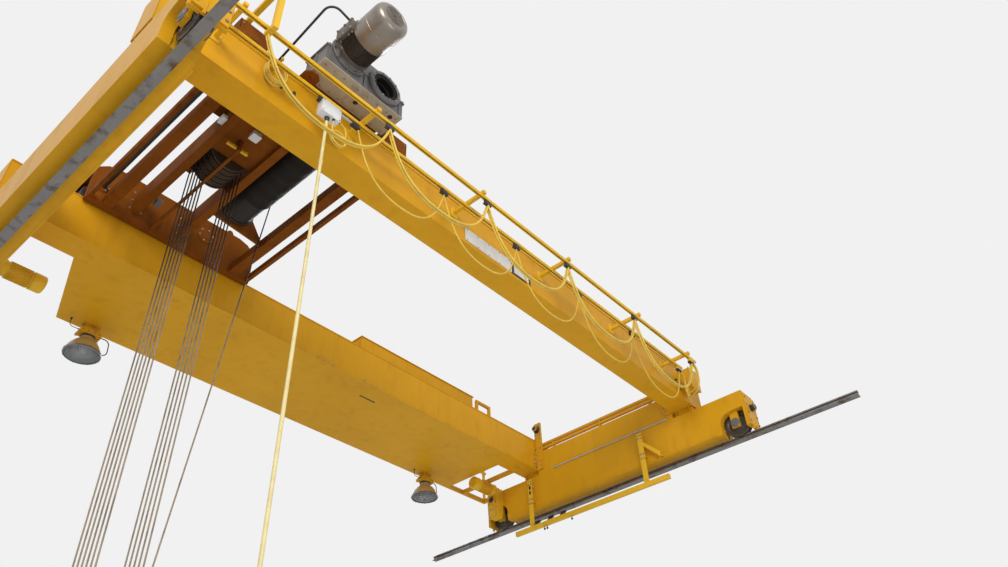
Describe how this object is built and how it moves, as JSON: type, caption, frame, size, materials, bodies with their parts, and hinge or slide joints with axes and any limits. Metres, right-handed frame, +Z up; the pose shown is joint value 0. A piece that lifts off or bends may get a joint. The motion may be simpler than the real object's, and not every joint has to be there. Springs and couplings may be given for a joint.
{
  "type": "overhead bridge crane",
  "caption": "Double-girder overhead bridge crane with top-running hoist trolley, rope-hung hook block, festoon cables, pendant control, service platform and runway rails.",
  "frame": {"origin": "centre of the near runway rail's foot, on its flat underside, midway between the girders", "axes": "+X along the girders from the near rail to the far rail, +Y along the runway towards the platform side, +Z up"},
  "size_m": [10.49, 9, 7.088],
  "materials": {
    "yellow_paint": "satin, sun-lit and slightly dusty",
    "primer_brown": "satin, oily",
    "rail_steel": "worn bright on top",
    "wheel_steel": "worn tread",
    "gear_gray": "satin",
    "motor_silver": "satin",
    "greased_black": "greasy",
    "rope_wire": "greased wire",
    "hook_iron": "rough",
    "cable_yellow": "matte",
    "black_plastic": "matte",
    "box_white": "matte",
    "lamp_aluminium": "dusty"
  },
  "bodies": {
    "runway": {"near_rail": "rail_steel", "far_rail": "rail_steel"},
    "bridge": {"girder_a": "yellow_paint", "girder_b": "yellow_paint", "truck_near": "yellow_paint", "truck_far": "yellow_paint", "end_ties": "yellow_paint", "trolley_rails": "rail_steel", "platform": "yellow_paint", "handrail_posts": "yellow_paint", "handrail_bars": "yellow_paint", "cabinet": "yellow_paint", "lamps": "lamp_aluminium", "bridge_drives": "yellow_paint", "collector_frame": "yellow_paint", "collectors": "black_plastic", "festoon_rails": "yellow_paint", "festoon_arms": "yellow_paint", "festoon_cable_outer": "cable_yellow", "festoon_cable_inner": "cable_yellow"},
    "wheel_na": {"bridge_wheel_na": "wheel_steel"},
    "wheel_nb": {"bridge_wheel_nb": "wheel_steel"},
    "wheel_fa": {"bridge_wheel_fa": "wheel_steel"},
    "wheel_fb": {"bridge_wheel_fb": "wheel_steel"},
    "trolley": {"frame_a": "primer_brown", "frame_b": "primer_brown", "cross_beams": "primer_brown", "sheave_frame": "primer_brown", "upper_sheaves": "greased_black", "gearbox": "gear_gray", "hoist_motor": "motor_silver", "drum_bearing": "primer_brown", "tow_arm": "yellow_paint", "hoist_ropes": "rope_wire"},
    "drum": {"drum": "greased_black"},
    "wheelset_near": {"wheelset_near": "wheel_steel"},
    "wheelset_far": {"wheelset_far": "wheel_steel"},
    "block": {"hook_block": "yellow_paint", "block_sheaves": "greased_black"},
    "hook": {"hook": "hook_iron"},
    "pendant": {"pendant_carrier": "box_white", "pendant_cable": "cable_yellow", "pendant_station": "yellow_paint"},
    "outer_carrier_1": {"outer_carrier_1": "black_plastic"},
    "inner_carrier_1": {"inner_carrier_1": "black_plastic"},
    "outer_carrier_2": {"outer_carrier_2": "black_plastic"},
    "inner_carrier_2": {"inner_carrier_2": "black_plastic"},
    "outer_carrier_3": {"outer_carrier_3": "black_plastic"},
    "inner_carrier_3": {"inner_carrier_3": "black_plastic"},
    "outer_carrier_4": {"outer_carrier_4": "black_plastic"},
    "inner_carrier_4": {"inner_carrier_4": "black_plastic"}
  },
  "joints": [
    {"name": "bridge_travel", "type": "slide", "parent": "runway", "child": "bridge", "axis": [0, 1, 0], "range_m": [-1.5, 1.5]},
    {"name": "wheel_na_spin", "type": "hinge", "parent": "bridge", "child": "wheel_na", "pos_m": [0, -2.55, 0.2903], "axis": [1, 0, 0], "continuous": true},
    {"name": "wheel_nb_spin", "type": "hinge", "parent": "bridge", "child": "wheel_nb", "pos_m": [0, 2.55, 0.2903], "axis": [1, 0, 0], "continuous": true},
    {"name": "wheel_fa_spin", "type": "hinge", "parent": "bridge", "child": "wheel_fa", "pos_m": [10.1, -2.55, 0.2903], "axis": [1, 0, 0], "continuous": true},
    {"name": "wheel_fb_spin", "type": "hinge", "parent": "bridge", "child": "wheel_fb", "pos_m": [10.1, 2.55, 0.2903], "axis": [1, 0, 0], "continuous": true},
    {"name": "trolley_travel", "type": "slide", "parent": "bridge", "child": "trolley", "axis": [1, 0, 0], "range_m": [-0.3, 6.6], "deforming": ["festoon_cable_outer"]},
    {"name": "wheelset_near_spin", "type": "hinge", "parent": "trolley", "child": "wheelset_near", "pos_m": [0.84, 0, 1.7203], "axis": [0, 1, 0], "continuous": true},
    {"name": "wheelset_far_spin", "type": "hinge", "parent": "trolley", "child": "wheelset_far", "pos_m": [2.97, 0, 1.7203], "axis": [0, 1, 0], "continuous": true},
    {"name": "outer_carrier_1_slide", "type": "slide", "parent": "bridge", "child": "outer_carrier_1", "axis": [1, 0, 0], "range_m": [-0.24, 5.28]},
    {"name": "outer_carrier_2_slide", "type": "slide", "parent": "bridge", "child": "outer_carrier_2", "axis": [1, 0, 0], "range_m": [-0.18, 3.96]},
    {"name": "outer_carrier_3_slide", "type": "slide", "parent": "bridge", "child": "outer_carrier_3", "axis": [1, 0, 0], "range_m": [-0.12, 2.64]},
    {"name": "outer_carrier_4_slide", "type": "slide", "parent": "bridge", "child": "outer_carrier_4", "axis": [1, 0, 0], "range_m": [-0.06, 1.32]},
    {"name": "drum_spin", "type": "hinge", "parent": "trolley", "child": "drum", "pos_m": [2.33, 0, 1.85], "axis": [0, -1, 0], "range_deg": [-6963, 10444]},
    {"name": "hoist", "type": "slide", "parent": "trolley", "child": "block", "axis": [0, 0, 1], "range_m": [-2.41, 3.61], "deforming": ["hoist_ropes"]},
    {"name": "hook_swivel", "type": "hinge", "parent": "block", "child": "hook", "pos_m": [1.646, 0, -4.2], "axis": [0, 0, 1], "continuous": true},
    {"name": "pendant_travel", "type": "slide", "parent": "bridge", "child": "pendant", "axis": [1, 0, 0], "range_m": [-0.9, 6], "deforming": ["festoon_cable_inner"]},
    {"name": "inner_carrier_1_slide", "type": "slide", "parent": "bridge", "child": "inner_carrier_1", "axis": [1, 0, 0], "range_m": [-0.72, 4.8]},
    {"name": "inner_carrier_2_slide", "type": "slide", "parent": "bridge", "child": "inner_carrier_2", "axis": [1, 0, 0], "range_m": [-0.54, 3.6]},
    {"name": "inner_carrier_3_slide", "type": "slide", "parent": "bridge", "child": "inner_carrier_3", "axis": [1, 0, 0], "range_m": [-0.36, 2.4]},
    {"name": "inner_carrier_4_slide", "type": "slide", "parent": "bridge", "child": "inner_carrier_4", "axis": [1, 0, 0], "range_m": [-0.18, 1.2]}
  ],
  "couplings": [
    {"joint": "wheel_na_spin", "follows": "bridge_travel", "rad_per_m": -5},
    {"joint": "wheel_nb_spin", "follows": "bridge_travel", "rad_per_m": -5},
    {"joint": "wheel_fa_spin", "follows": "bridge_travel", "rad_per_m": -5},
    {"joint": "wheel_fb_spin", "follows": "bridge_travel", "rad_per_m": -5},
    {"joint": "wheelset_near_spin", "follows": "trolley_travel", "rad_per_m": 6.6667},
    {"joint": "wheelset_far_spin", "follows": "trolley_travel", "rad_per_m": 6.6667},
    {"joint": "outer_carrier_1_slide", "follows": "trolley_travel", "ratio": 0.8},
    {"joint": "outer_carrier_2_slide", "follows": "trolley_travel", "ratio": 0.6},
    {"joint": "outer_carrier_3_slide", "follows": "trolley_travel", "ratio": 0.4},
    {"joint": "outer_carrier_4_slide", "follows": "trolley_travel", "ratio": 0.2},
    {"joint": "hoist", "follows": "drum_spin", "m_per_rad": 0.01975},
    {"joint": "inner_carrier_1_slide", "follows": "pendant_travel", "ratio": 0.8},
    {"joint": "inner_carrier_2_slide", "follows": "pendant_travel", "ratio": 0.6},
    {"joint": "inner_carrier_3_slide", "follows": "pendant_travel", "ratio": 0.4},
    {"joint": "inner_carrier_4_slide", "follows": "pendant_travel", "ratio": 0.2}
  ]
}
